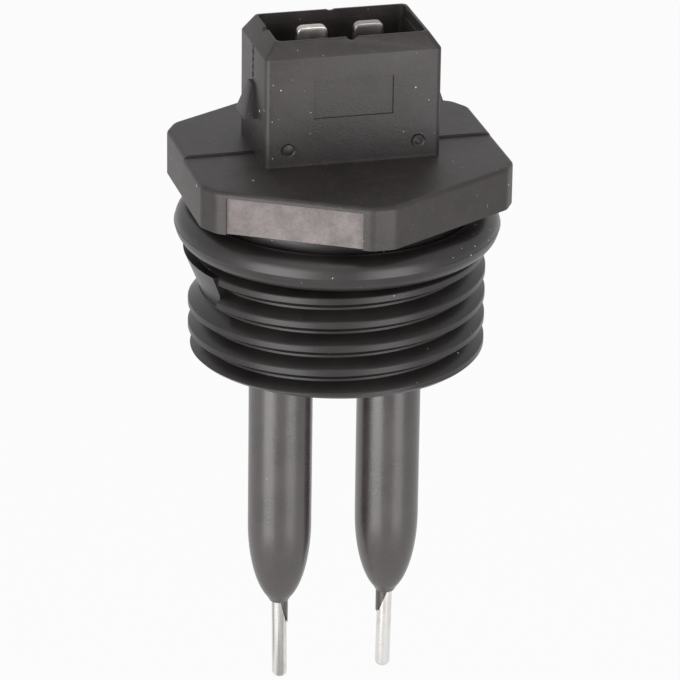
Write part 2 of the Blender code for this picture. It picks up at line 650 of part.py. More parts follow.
def build_sleeve(name, side, tongue_length, parts, cutters, material):
    """One probe's insulating sleeve, bored for its pin."""
    bore = PIN_RADIUS + PIN_CLEARANCE
    nose = nose_profile()
    tip = nose[-1][1]
    points = [(bore, SLEEVE_TOP), (SLEEVE_RADIUS, SLEEVE_TOP)] + nose + [(bore, tip)]
    sleeve = turned(name, points, ROD_SEGMENTS, parts, closed=True)
    sleeve.location.x = side * ROD_SPACING / 2
    boolean(sleeve, sleeve_tongue(name + "_tongue", side, tip, tongue_length, cutters), "UNION")
    sleeve.data.materials.append(material)
    return sleeve


def build_pin(name, side, parts, material):
    """One electrode pin, straight through its sleeve, its bare end leaning slightly inwards."""
    nose_tip = nose_profile()[-1][1]
    inner = side * ROD_SPACING / 2
    outer = side * PIN_SPACING_AT_TIP / 2
    curve = bpy.data.curves.new(name, "CURVE")
    curve.dimensions = "3D"
    curve.bevel_depth = PIN_RADIUS
    curve.bevel_resolution = PIN_SEGMENTS // 4 - 1
    curve.use_fill_caps = True
    path = [(inner, PIN_TOP), (inner, nose_tip), (outer, -PIN_END)]
    spline = curve.splines.new("POLY")
    spline.points.add(len(path) - 1)
    for point, (x, z) in zip(spline.points, path):
        point.co = (x, 0.0, z, 1.0)
    obj = bpy.data.objects.new(name, curve)
    parts.objects.link(obj)
    bm = evaluated_bmesh(obj)
    bmesh.ops.remove_doubles(bm, verts=bm.verts, dist=0.000001)
    bpy.data.objects.remove(obj, do_unlink=True)
    ends = [e for e in bm.edges if len({round(v.co.z, 6) for v in e.verts}) == 1
            and e.verts[0].co.z < -PIN_END + PIN_RADIUS and any(len(f.verts) > 4 for f in e.link_faces)]
    bmesh.ops.bevel(bm, geom=ends, offset=PIN_RADIUS * 0.6, segments=2, profile=0.5, affect="EDGES")
    pin = mesh_object(name, bm, parts)
    pin.data.materials.append(material)
    smooth(pin)
    return pin


def build_sensor():
    start_clean()
    parts = new_collection("coolant_level_sensor")
    cutters = new_collection("cutters")
    moulding = new_material("black_moulding", (0.042, 0.040, 0.040), 0.55, 0.0)
    rubber = new_material("ring_rubber", (0.020, 0.020, 0.020), 0.42, 0.0)
    insulation = new_material("sleeve_plastic", (0.012, 0.012, 0.013), 0.18, 0.0)
    steel = new_material("pin_steel", (0.62, 0.61, 0.60), 0.16, 1.0)
    tin = new_material("blade_tin", (0.58, 0.54, 0.52), 0.30, 1.0)

    build_housing(parts, cutters, moulding)
    build_barrel(parts, cutters, moulding)
    build_ring(parts, rubber)
    for word, side, tongue_length in (("left", -1, TONGUE_LENGTH_LEFT), ("right", 1, TONGUE_LENGTH_RIGHT)):
        build_sleeve("probe_sleeve_" + word, side, tongue_length, parts, cutters, insulation)
        build_pin("electrode_pin_" + word, side, parts, steel)
        blade_terminal("blade_terminal_" + word, side, parts, cutters, tin)


build_sensor()
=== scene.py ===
# Coolant level sensor: hexagon head and plug socket, coarse thread, sealing ring and two probe rods.
from math import cos, pi, radians, sin, sqrt, tan

import bmesh
import bpy
from mathutils import Matrix, Vector


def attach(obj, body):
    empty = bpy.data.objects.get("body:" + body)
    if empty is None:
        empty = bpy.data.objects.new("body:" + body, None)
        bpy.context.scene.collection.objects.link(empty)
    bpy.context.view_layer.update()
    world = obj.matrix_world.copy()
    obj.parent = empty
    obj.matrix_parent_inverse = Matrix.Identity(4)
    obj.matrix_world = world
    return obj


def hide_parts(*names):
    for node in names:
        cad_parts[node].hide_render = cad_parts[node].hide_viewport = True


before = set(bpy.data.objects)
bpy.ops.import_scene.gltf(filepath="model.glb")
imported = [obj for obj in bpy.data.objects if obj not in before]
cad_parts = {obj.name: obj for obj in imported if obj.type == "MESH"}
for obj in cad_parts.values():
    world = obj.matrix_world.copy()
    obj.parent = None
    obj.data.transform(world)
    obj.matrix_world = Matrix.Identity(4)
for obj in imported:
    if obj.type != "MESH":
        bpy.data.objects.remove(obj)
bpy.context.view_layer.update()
mm = 0.001

camera = {
    "azimuth": -14.954,  # degrees to the left of the front
    "height": 22.78,  # degrees above the horizon
    "roll": 0.8255,
    "distance": 426.56 * mm,
    "lookAt": (0.41 * mm, 0.0, -14.474 * mm),
    "lens": 256.6,
}
studio = {
    "floorLevel": -0.30,
    "floorColour": (0.86, 0.86, 0.86),
    "seenWhite": 1.0,
    "worldFill": 0.30,
    "leftBox": {"azimuth": -54, "distance": 0.55, "low": -0.27, "high": 0.30,
                "width": 0.40, "brightness": 4.6},
    "rightBox": {"azimuth": 24, "distance": 0.60, "low": -0.27, "high": 0.30,
                 "width": 0.36, "brightness": 3.8},
    "topBox": {"azimuth": -30, "distance": 0.30, "low": 0.42, "high": 0.62,
               "width": 0.50, "brightness": 1.0},
}


def deselectAll():
    if bpy.context.object and bpy.context.object.mode != "OBJECT":
        bpy.ops.object.mode_set(mode="OBJECT")
    bpy.ops.object.select_all(action="DESELECT")


def addCamera():
    made = bpy.data.cameras.new("camera")
    holder = bpy.data.objects.new("camera", made)
    bpy.context.scene.collection.objects.link(holder)
    az, el, roll = (radians(camera[k]) for k in ("azimuth", "height", "roll"))
    away = Vector((sin(az) * cos(el), -cos(az) * cos(el), sin(el)))
    right = Vector((cos(az), sin(az), 0.0))
    up = away.cross(right)
    turnedRight = right * cos(roll) + up * sin(roll)
    turnedUp = up * cos(roll) - right * sin(roll)
    place = Matrix((turnedRight, turnedUp, away)).transposed().to_4x4()
    place.translation = Vector(camera["lookAt"]) + away * camera["distance"]
    holder.matrix_world = place
    made.lens = camera["lens"]
    made.sensor_width = 36
    made.clip_start = 0.01
    made.clip_end = 20
    bpy.context.scene.camera = holder


def addSoftBox(name, box):
    lamp = bpy.data.lights.new(name, "AREA")
    lamp.shape = "RECTANGLE"
    lamp.size = box["width"]
    lamp.size_y = box["high"] - box["low"]
    lamp.energy = box["brightness"] * pi * lamp.size * lamp.size_y
    holder = bpy.data.objects.new(name, lamp)
    az = radians(box["azimuth"])
    middle = Vector((sin(az) * box["distance"], -cos(az) * box["distance"], (box["low"] + box["high"]) / 2))
    holder.location = middle
    aim = Vector((0, 0, middle.z if box["low"] < 0.2 else -0.01)) - middle
    holder.rotation_euler = aim.to_track_quat("-Z", "Y").to_euler()
    bpy.context.scene.collection.objects.link(holder)


addCamera()
for boxName in ("leftBox", "rightBox", "topBox"):
    addSoftBox(boxName, studio[boxName])
bpy.context.scene.view_settings.view_transform = "Standard"
print("camera and soft boxes placed")


class Link:  # one output socket; sums on it add Math nodes
    def __init__(self, graph, socket):
        self.graph = graph
        self.socket = socket

    def math(self, operation, first, second=0.0):
        return self.graph.node("ShaderNodeMath", {"operation": operation}, {0: first, 1: second})

    def __add__(self, other):
        return self.math("ADD", self, other)

    def __radd__(self, other):
        return self.math("ADD", other, self)

    def __sub__(self, other):
        return self.math("SUBTRACT", self, other)

    def __rsub__(self, other):
        return self.math("SUBTRACT", other, self)

    def __mul__(self, other):
        return self.math("MULTIPLY", self, other)

    def __rmul__(self, other):
        return self.math("MULTIPLY", other, self)

    def __lt__(self, other):
        return self.math("LESS_THAN", self, other)

    def __gt__(self, other):
        return self.math("GREATER_THAN", self, other)

    def absolute(self):
        return self.math("ABSOLUTE", self)

    def most(self, other):
        return self.math("MAXIMUM", self, other)

    def between(self, low, high):  # 0 below low, 1 above high, a soft step in the middle
        limits = {"Value": self, "From Min": low, "From Max": high}
        return self.graph.node("ShaderNodeMapRange", {"interpolation_type": "SMOOTHSTEP"}, limits)


class Graph:  # one material and its nodes
    def __init__(self, name, roughness, metallic=0.0, ior=1.5):
        self.material = bpy.data.materials.new(name)
        self.material.use_nodes = True
        self.tree = self.material.node_tree
        self.shader = self.tree.nodes["Principled BSDF"]
        self.shader.inputs["Roughness"].default_value = roughness
        self.shader.inputs["Metallic"].default_value = metallic
        self.shader.inputs["IOR"].default_value = ior
        self.place = self.node("ShaderNodeTexCoord", {}, {}, "Object")

    def feed(self, socket, value):
        if isinstance(value, Link):
            self.tree.links.new(value.socket, socket)
        else:
            socket.default_value = value

    def node(self, kind, settings, inputs, output=0):
        made = self.tree.nodes.new(kind)
        for key, value in settings.items():
            setattr(made, key, value)
        for key, value in inputs.items():
            self.feed(made.inputs[key], value)
        return Link(self, made.outputs[output])

    def axis(self, name):
        return self.node("ShaderNodeSeparateXYZ", {}, {0: self.place}, name)

    def noise(self, size, detail=3.0, rough=0.5, place=None):  # size in metres
        inputs = {"Vector": place or self.place, "Scale": 1 / size, "Detail": detail, "Roughness": rough}
        return self.node("ShaderNodeTexNoise", {}, inputs)

    def stretched(self, scale, turn=(0, 0, 0), shift=(0, 0, 0)):
        inputs = {"Vector": self.place, "Location": shift, "Rotation": turn, "Scale": scale}
        return self.node("ShaderNodeMapping", {}, inputs)

    def blend(self, factor, first, second):  # a colour mix
        inputs = {0: factor, 6: colourOf(first), 7: colourOf(second)}
        return self.node("ShaderNodeMix", {"data_type": "RGBA"}, inputs, 2)

    def specks(self, spacing, size, share, seed):  # sparse small dots of dust
        shift = (seed, seed * 0.7, seed * 0.3)
        inputs = {"Vector": self.stretched((1, 1, 1), shift=shift), "Scale": 1 / spacing}
        near = self.node("ShaderNodeTexVoronoi", {}, inputs, "Distance")
        pick = self.node("ShaderNodeTexVoronoi", {}, inputs, "Color")
        red = self.node("ShaderNodeSeparateColor", {}, {0: pick}, 0)
        green = self.node("ShaderNodeSeparateColor", {}, {0: pick}, 1)
        return (near < green * (size / spacing)) * (red < share)

    def bump(self, height, depth, strength):
        return self.node("ShaderNodeBump", {}, {"Height": height, "Distance": depth, "Strength": strength})

    def finish(self, **sockets):
        names = {"colour": "Base Color", "roughness": "Roughness", "normal": "Normal"}
        for key, value in sockets.items():
            self.feed(self.shader.inputs[names[key]], value)
        return self.material


def colourOf(value):
    return value if isinstance(value, Link) else (*value, 1.0)


dustColour = (0.62, 0.61, 0.60)


def makeMoulding():  # head and socket: fine matt grain, dust, paler rough pad on the front left flat, and painted shade low on the socket walls and on the latch ramps
    look = {
        "dark": (0.016, 0.0122, 0.0116),
        "light": (0.026, 0.0205, 0.0196),
        "mottle": (0.046, 0.038, 0.0365),
        # shade: the colour of the painted shade on the lower socket walls and the latch ramps
        "shade": (0.006, 0.0048, 0.0046),
        "pad": (0.225, 0.195, 0.19),
        "roughness": 0.47,
        "fineDust": (0.55 * mm, 0.055 * mm, 0.16, 0.31),  # spacing, size, share, seed
        "coarseDust": (1.5 * mm, 0.12 * mm, 0.32, 0.77),
        "cornerDust": (0.42 * mm, 0.06 * mm, 0.35, 0.13),
    }
    g = Graph("blackMoulding", look["roughness"])
    cloud = g.noise(6 * mm, 4, 0.6)
    mottle = g.noise(0.9 * mm, 4, 0.6)
    grain = g.noise(0.16 * mm, 2, 0.6)
    x, y, z = g.axis("X"), g.axis("Y"), g.axis("Z")
    colour = g.blend(cloud.between(0.3, 0.7), look["dark"], look["light"])
    colour = g.blend(mottle.between(0.45, 0.75) * 0.35, colour, look["mottle"])
    footShadePainted = (z > 4.05 * mm) * (1 - z.between(4.0 * mm, 10.5 * mm))  # painted shade: the socket walls darken downwards
    # painted shade on the latch ramps at both ends of the socket
    lugShadePainted = ((x - 0.2 * mm).absolute() > 7.83 * mm) * (z > 7.0 * mm) * (z < 10.4 * mm)
    # both masks blend painted shade into the colour
    colour = g.blend((footShadePainted * 0.6).most(lugShadePainted * 0.6), colour, look["shade"])
    padTurn = radians(-120)
    outward = x * cos(padTurn) + y * sin(padTurn)
    along = y * cos(padTurn) - x * sin(padTurn)
    onPad = (outward > 13.35 * mm) * (outward < 13.62 * mm) * (along.absolute() < 6.0 * mm) * (z < 3.3 * mm)
    padCloud = g.noise(1.6 * mm, 5, 0.7).between(0.3, 0.7)
    colour = g.blend(onPad * (padCloud * 0.35 + grain * 0.35 + 0.3), colour, look["pad"])
    fine, coarse = g.specks(*look["fineDust"]), g.specks(*look["coarseDust"])
    dense = g.specks(*look["cornerDust"]) * (y < -13.2 * mm) * (z < 3.6 * mm)  # on the front corner
    dust = (fine * 0.55).most(coarse * 0.9).most(dense * 0.7)
    colour = g.blend(dust, colour, dustColour)
    rough = look["roughness"] + (mottle - 0.5) * 0.16 + onPad * 0.10 + dust * 0.3
    height = grain + mottle * 0.8 + onPad * g.noise(0.22 * mm, 2, 0.7) * 2.2
    return g.finish(colour=colour, roughness=rough, normal=g.bump(height, 0.022 * mm, 0.9))


def makeThread():  # the barrel: smoother than the head, and painted darker than it as shade under the head
    look = {
        # painted shade: these colours are darker than the head's, though it is the same moulding
        "dark": (0.0065, 0.0050, 0.0048),
        "light": (0.012, 0.0095, 0.0091),
        "roughness": 0.36,
        "fineDust": (0.6 * mm, 0.06 * mm, 0.14, 0.41),
        "coarseDust": (2.1 * mm, 0.12 * mm, 0.25, 0.59),
    }
    g = Graph("barrelMoulding", look["roughness"])
    cloud = g.noise(4 * mm, 3, 0.6)
    grain = g.noise(0.30 * mm, 2, 0.5)
    colour = g.blend(cloud.between(0.3, 0.7), look["dark"], look["light"])
    fine, coarse = g.specks(*look["fineDust"]), g.specks(*look["coarseDust"])
    dust = (fine * 0.6).most(coarse * 0.9)
    colour = g.blend(dust, colour, dustColour)
    rough = look["roughness"] + (cloud - 0.5) * 0.14 + dust * 0.3
    return g.finish(colour=colour, roughness=rough, normal=g.bump(grain + cloud, 0.010 * mm, 0.6))


def makeRubber():  # the ring: satin, dusty at the right
    look = {
        "dark": (0.011, 0.0094, 0.0090),
        "light": (0.019, 0.0165, 0.0158),
        "roughness": 0.34,
        "fineDust": (0.60 * mm, 0.055 * mm, 0.10, 0.19),
        "coarseDust": (1.9 * mm, 0.13 * mm, 0.22, 0.87),
        "rightDust": (0.62 * mm, 0.10 * mm, 0.42, 0.53),
    }
    g = Graph("ringRubber", look["roughness"])
    cloud = g.noise(5 * mm, 4, 0.6)
    grain = g.noise(0.35 * mm, 3, 0.5)
    colour = g.blend(cloud.between(0.3, 0.7), look["dark"], look["light"])
    atRight = (g.axis("X") > 5.5 * mm) * (g.axis("Y") < 2 * mm)
    fine, coarse = g.specks(*look["fineDust"]), g.specks(*look["coarseDust"])
    dense = g.specks(*look["rightDust"]) * atRight
    dust = (fine * 0.6).most(coarse * 0.9).most(dense * 0.8)
    colour = g.blend(dust, colour, dustColour)
    rough = look["roughness"] + (cloud - 0.5) * 0.16 + dust * 0.3
    return g.finish(colour=colour, roughness=rough, normal=g.bump(grain + cloud * 1.5, 0.012 * mm, 0.6))


def makeInsulation():  # the rods: glossy, with rubbed patches and fine scuffs
    look = {
        "dark": (0.026, 0.0200, 0.0192),
        "light": (0.040, 0.0320, 0.0310),
        "rubbed": (0.17, 0.150, 0.145),
        "roughness": 0.25,
        "fineDust": (0.7 * mm, 0.05 * mm, 0.07, 0.23),
        "coarseDust": (2.6 * mm, 0.12 * mm, 0.18, 0.67),
    }
    g = Graph("sleevePlastic", look["roughness"], ior=1.75)
    cloud = g.noise(5 * mm, 4, 0.65)
    streaks = g.noise(0.5 * mm, 3, 0.6, g.stretched((1, 1, 0.08)))
    grain = g.noise(0.22 * mm, 2, 0.5)
    colour = g.blend(cloud.between(0.3, 0.7), look["dark"], look["light"])
    slanted = g.stretched((1.0, 1.0, 0.35), turn=(0.2, 0.5, 0.3))
    scuffs = g.noise(0.35 * mm, 4, 0.7, slanted).between(0.66, 0.76)
    worn = g.noise(3.5 * mm, 2, 0.5).between(0.52, 0.66)
    colour = g.blend(scuffs * worn * 0.6, colour, look["rubbed"])
    fine, coarse = g.specks(*look["fineDust"]), g.specks(*look["coarseDust"])
    dust = (fine * 0.6).most(coarse * 0.9)
    colour = g.blend(dust, colour, dustColour)
    rough = look["roughness"] + (cloud - 0.5) * 0.20 + streaks * 0.06 + scuffs * worn * 0.2 + dust * 0.3
    height = grain * 0.5 + cloud * 2 + streaks
    return g.finish(colour=colour, roughness=rough, normal=g.bump(height, 0.012 * mm, 0.7))


def makeSteel():  # bare pins: bright, drawn lengthwise
    # line: the colour of the drawing streaks and of the painted reflection of the dark gap between the soft
    # boxes
    look = {"clean": (0.74, 0.725, 0.71), "stained": (0.56, 0.505, 0.46), "line": (0.16, 0.145, 0.14)}
    g = Graph("pinSteel", 0.13, metallic=1.0)
    drawn = g.noise(0.10 * mm, 3, 0.6, g.stretched((1, 1, 0.03)))
    stain = g.noise(1.4 * mm, 3, 0.6)
    colour = g.blend(stain.between(0.45, 0.75) * 0.5, look["clean"], look["stained"])
    # dark brownish lengthwise streaks: drawing marks, and painted reflection of the dark gap between the soft
    # boxes
    lengthwise = g.stretched((1, 1, 0.02), shift=(0.31 * mm, 0, 0))
    drawnStreaksAndReflection = g.noise(0.45 * mm, 2, 0.5, lengthwise).between(0.50, 0.62)
    colour = g.blend(drawnStreaksAndReflection * 0.6, colour, look["line"])
    rough = 0.11 + drawn * 0.10 + stain * 0.05
    return g.finish(colour=colour, roughness=rough, normal=g.bump(drawn, 0.004 * mm, 0.5))


def makeTin():  # blades: dull tin plate over brass, brighter where the plug rubs, darker on the right
    look = {"dull": (0.50, 0.465, 0.44), "bright": (0.66, 0.63, 0.60), "dark": (0.27, 0.25, 0.24)}
    g = Graph("bladeTin", 0.30, metallic=1.0)
    cloud = g.noise(0.9 * mm, 4, 0.65)
    rubbed = g.noise(0.12 * mm, 3, 0.6, g.stretched((1, 1, 0.06)))
    colour = g.blend(cloud.between(0.35, 0.7), look["dull"], look["bright"])
    colour = g.blend((g.axis("X") > 0.0) * 0.8, colour, look["dark"])
    rough = 0.24 + cloud * 0.14 + rubbed * 0.06
    return g.finish(colour=colour, roughness=rough, normal=g.bump(cloud + rubbed, 0.006 * mm, 0.6))


def makeFloor():  # pale and plain, and white to the camera and in reflections; it keeps a faint shadow
    g = Graph("paleFloor", 0.9)
    g.shader.inputs["Base Color"].default_value = (*studio["floorColour"], 1.0)
    g.shader.inputs["Specular IOR Level"].default_value = 0.0
    white = g.node("ShaderNodeEmission", {}, {"Color": (1, 1, 1, 1), "Strength": studio["seenWhite"]})
    path = g.tree.nodes.new("ShaderNodeLightPath")
    seen = Link(g, path.outputs["Is Camera Ray"]).most(Link(g, path.outputs["Is Glossy Ray"]))
    seen = seen.most(Link(g, path.outputs["Is Transmission Ray"]))
    mixed = g.node("ShaderNodeMixShader", {}, {0: seen * 0.95, 1: Link(g, g.shader.outputs[0]), 2: white})
    g.tree.links.new(mixed.socket, g.tree.nodes["Material Output"].inputs["Surface"])
    return g.material


materials = {
    "moulding": makeMoulding(),
    "thread": makeThread(),
    "rubber": makeRubber(),
    "insulation": makeInsulation(),
    "steel": makeSteel(),
    "tin": makeTin(),
    "floor": makeFloor(),
}


def makeWorld():  # soft fill, and white to the camera and in reflections, as the floor
    world = bpy.data.worlds.new("studio")
    bpy.context.scene.world = world
    world.use_nodes = True
    tree = world.node_tree
    fill = tree.nodes["Background"]
    fill.inputs["Color"].default_value = (1, 1, 1, 1)
    fill.inputs["Strength"].default_value = studio["worldFill"]
    seen = tree.nodes.new("ShaderNodeBackground")
    seen.inputs["Strength"].default_value = studio["seenWhite"]
    path = tree.nodes.new("ShaderNodeLightPath")
    either = tree.nodes.new("ShaderNodeMath")
    either.operation = "MAXIMUM"
    tree.links.new(path.outputs["Is Camera Ray"], either.inputs[0])
    tree.links.new(path.outputs["Is Glossy Ray"], either.inputs[1])
    every = tree.nodes.new("ShaderNodeMath")
    every.operation = "MAXIMUM"
    tree.links.new(either.outputs[0], every.inputs[0])
    tree.links.new(path.outputs["Is Transmission Ray"], every.inputs[1])
    mixed = tree.nodes.new("ShaderNodeMixShader")
    tree.links.new(every.outputs[0], mixed.inputs[0])
    tree.links.new(fill.outputs[0], mixed.inputs[1])
    tree.links.new(seen.outputs[0], mixed.inputs[2])
    tree.links.new(mixed.outputs[0], tree.nodes["World Output"].inputs["Surface"])


makeWorld()
print("materials made")


def startPiece(name, addPrimitive, **settings):
    deselectAll()
    addPrimitive(**settings)
    piece = bpy.context.object
    piece.name = name
    piece.data.name = name
    bpy.ops.object.transform_apply(location=True, rotation=True, scale=True)
    return piece


def editSelect(piece, mode, test):  # selects the faces, edges or verts that pass the test, in edit mode
    bpy.context.view_layer.objects.active = piece
    if piece.mode != "EDIT":
        bpy.ops.object.mode_set(mode="EDIT")
    bpy.ops.mesh.select_mode(type=mode)
    bpy.ops.mesh.select_all(action="DESELECT")
    mesh = bmesh.from_edit_mesh(piece.data)
    for item in {"FACE": mesh.faces, "EDGE": mesh.edges, "VERT": mesh.verts}[mode]:
        if test(item):
            item.select_set(True)
    mesh.select_flush_mode()
    bmesh.update_edit_mesh(piece.data)


def leaveEdit(piece):
    bpy.ops.object.mode_set(mode="OBJECT")
    return piece


def useModifier(piece, kind, **settings):
    deselectAll()
    bpy.context.view_layer.objects.active = piece
    piece.select_set(True)
    made = piece.modifiers.new(kind, kind)
    for key, value in settings.items():
        setattr(made, key, value)
    bpy.ops.object.modifier_apply(modifier=made.name)


def combine(piece, tool, operation):
    useModifier(piece, "BOOLEAN", operation=operation, solver="EXACT", object=tool)
    bpy.data.objects.remove(tool, do_unlink=True)


def block(name, low, high):
    centre = [(a + b) / 2 for a, b in zip(low, high)]
    size = [b - a for a, b in zip(low, high)]
    return startPiece(name, bpy.ops.mesh.primitive_cube_add, size=1, location=centre, scale=size)


def post(name, radius, low, high, x, sides):  # an upright cylinder
    place = (x, 0, (low + high) / 2)
    return startPiece(name, bpy.ops.mesh.primitive_cylinder_add, vertices=sides, radius=radius,
                      depth=high - low, location=place)


def smoothBy(piece, angle):
    deselectAll()
    bpy.context.view_layer.objects.active = piece
    piece.select_set(True)
    bpy.ops.object.shade_smooth_by_angle(angle=radians(angle))


def placePiece(piece, material, replaced):
    piece.data.materials.clear()
    piece.data.materials.append(materials[material])
    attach(piece, "root")
    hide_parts(replaced)


def spunSolid(name, points, around, fromBearing=0.0, toBearing=360.0):  # (radius, height) points turned round Z
    whole = toBearing - fromBearing == 360
    piece = startPiece(name, bpy.ops.mesh.primitive_circle_add, vertices=len(points), radius=1,
                       fill_type="NOTHING")
    for v, (radius, height) in zip(piece.data.vertices, points):
        v.co = (radius, 0, height)
    editSelect(piece, "VERT", lambda v: True)
    bpy.ops.mesh.spin(steps=around, angle=radians(toBearing - fromBearing), center=(0, 0, 0),
                      axis=(0, 0, 1), dupli=False)
    bpy.ops.mesh.select_all(action="SELECT")
    bpy.ops.mesh.remove_doubles(threshold=0.0005 * mm)
    if not whole:
        editSelect(piece, "EDGE", lambda e: e.is_boundary)
        bpy.ops.mesh.fill_holes(sides=0)
        bpy.ops.mesh.select_all(action="SELECT")
    bpy.ops.mesh.normals_make_consistent(inside=False)
    leaveEdit(piece)
    if not whole:
        forwards = sum(v.co.y for v in piece.data.vertices) > 0
        piece.data.transform(Matrix.Rotation(radians(fromBearing if forwards else toBearing), 4, "Z"))
    return piece


ring = {
    "outer": 14.225 * mm,
    "section": 1.6 * mm,  # its radius
    "drop": 3.0 * mm,
    "flash": 0.06 * mm,
    "around": 192,
    "across": 80,
}


def makeRing():
    middle = ring["outer"] - ring["section"]
    piece = startPiece("sealingRing", bpy.ops.mesh.primitive_torus_add, location=(0, 0, -ring["drop"]),
                       major_radius=middle, minor_radius=ring["section"] - ring["flash"],
                       major_segments=ring["around"], minor_segments=ring["across"])
    edge = middle + ring["section"] - ring["flash"]
    editSelect(piece, "VERT", lambda v: abs(v.co.to_2d().length - edge) < 0.001 * mm)
    stretch = ring["outer"] / edge  # the mould's flash line
    bpy.ops.transform.resize(value=(stretch, stretch, 1), center_override=(0, 0, -ring["drop"]))
    leaveEdit(piece)
    smoothBy(piece, 60)
    placePiece(piece, "rubber", "sealing_ring")


makeRing()
print("ring made")

rods = {
    "spacing": 9.85 * mm,
    "radius": 2.83 * mm,
    "clearance": 0.12 * mm,  # in the barrel's bores
    "top": -13.2 * mm,
    "noseStart": -31.55 * mm,
    "noseLength": 7.8 * mm,
    "noseEnd": 1.1 * mm,
    "tip": {"length": 0.45 * mm, "radius": 0.84 * mm},
    "steps": 18,
    "tongue": {"left": 2.8 * mm, "right": 2.5 * mm},
    "tongueWall": 0.16 * mm,
    "pin": 0.66 * mm,
    "pinEnd": -46.8 * mm,
    "pinSpacingAtTip": 9.6 * mm,
}


def makeTongue(side, word, sleeveEnd):  # down the inner side of the pin, cut on a slant
    x = side * rods["spacing"] / 2
    length = rods["tongue"][word]
    outer = rods["pin"] + rods["tongueWall"]
    tongue = post("sleeveTongue", outer, sleeveEnd - length, sleeveEnd + 0.9 * mm, x, 48)
    inner = -side
    slant = Vector((inner * length, 0, outer + 0.15 * mm)).normalized()
    editSelect(tongue, "FACE", lambda f: True)
    corner = (x + inner * outer, 0, sleeveEnd - length)
    bpy.ops.mesh.bisect(plane_co=corner, plane_no=(-slant.x, 0, -slant.z), clear_outer=True, use_fill=True)
    return leaveEdit(tongue)


def makeSleeve(side, word):
    x = side * rods["spacing"] / 2
    last = sqrt(1 - (rods["noseEnd"] / rods["radius"]) ** 2)
    start = rods["noseStart"]
    piece = post("probeSleeve" + word.title(), rods["radius"], start, rods["top"], x, 96)
    editSelect(piece, "FACE", lambda f: f.normal.z < -0.9)
    before, beforeRadius = 0.0, rods["radius"]
    for step in range(1, rods["steps"] + 1):
        share = last * sin(pi / 2 * step / rods["steps"])
        level, radius = rods["noseLength"] * share, rods["radius"] * sqrt(1 - share ** 2)
        bpy.ops.mesh.extrude_region_move(TRANSFORM_OT_translate={"value": (0, 0, before - level)})
        narrow = radius / beforeRadius
        bpy.ops.transform.resize(value=(narrow, narrow, 1), center_override=(x, 0, start - level))
        before, beforeRadius = level, radius
    sleeveEnd, tip = start - before, rods["tip"]
    bpy.ops.mesh.extrude_region_move(TRANSFORM_OT_translate={"value": (0, 0, -tip["length"])})
    narrow = tip["radius"] / beforeRadius
    bpy.ops.transform.resize(value=(narrow, narrow, 1), center_override=(x, 0, sleeveEnd - tip["length"]))
    bpy.ops.mesh.inset(thickness=0.12 * mm)
    bpy.ops.mesh.extrude_region_move(TRANSFORM_OT_translate={"value": (0, 0, 0.3 * mm)})
    leaveEdit(piece)
    combine(piece, makeTongue(side, word, sleeveEnd), "UNION")
    smoothBy(piece, 40)
    placePiece(piece, "insulation", "probe_sleeve_" + word)
    return sleeveEnd


def makePin(side, word, sleeveEnd):
    x, tipX = side * rods["spacing"] / 2, side * rods["pinSpacingAtTip"] / 2
    radius, low = rods["pin"], rods["pinEnd"]
    piece = post("electrodePin" + word.title(), radius, low, sleeveEnd, x, 48)
    editSelect(piece, "EDGE", lambda e: all(v.co.z < low + 0.01 * mm for v in e.verts))
    bpy.ops.mesh.bevel(offset=radius * 0.75, segments=8, profile=0.5, affect="EDGES")
    leaveEdit(piece)
    lean = (tipX - x) / (low - sleeveEnd)
    for v in piece.data.vertices:
        v.co.x += lean * (v.co.z - sleeveEnd)
    smoothBy(piece, 50)
    placePiece(piece, "steel", "electrode_pin_" + word)


for rodSide, rodWord in ((-1, "left"), (1, "right")):
    makePin(rodSide, rodWord, makeSleeve(rodSide, rodWord))
print("rods made")

barrel = {
    "radius": 13.0 * mm,
    "depth": 1.22 * mm,
    "pitch": 2.2 * mm,
    "crest": 0.60 * mm,
    "crestRound": 0.14 * mm,
    "flank": 30.0,
    "firstCrest": -5.43 * mm,
    "turns": 6,
    "top": -0.02 * mm,
    "end": -14.55 * mm,
    "endChamfer": 0.3 * mm,
    "neck": 10.725 * mm,
    "reliefSlope": 0.4,
    "reliefGap": 1.9 * mm,
    "around": 180,
    "shoulder": {"from": 150.0, "to": 203.0, "top": -5.4 * mm, "bottom": -9.0 * mm,
                 "radius": 12.75 * mm, "at": -7.0 * mm, "taper": 0.42, "around": 40},
    "recess": {"depth": 1.8 * mm, "wall": 1.7 * mm, "boss": 1.5 * mm},
}


def ridgeSection():  # one thread ridge with rounded crest corners, from its upper foot to its lower
    half, r, run = barrel["crest"] / 2, barrel["radius"], barrel["crestRound"]
    root = r - barrel["depth"] - 0.1 * mm
    upper = [(root, half + (r - root) * tan(radians(barrel["flank"])))]
    for share in (1.0, 0.62, 0.30, 0.08):
        upper.append((r - run * share ** 1.4 * 0.85, half + run * (0.62 - 1.24 * (1 - share)) * 0.8))
    return upper + [(radius, -height) for radius, height in reversed(upper)]


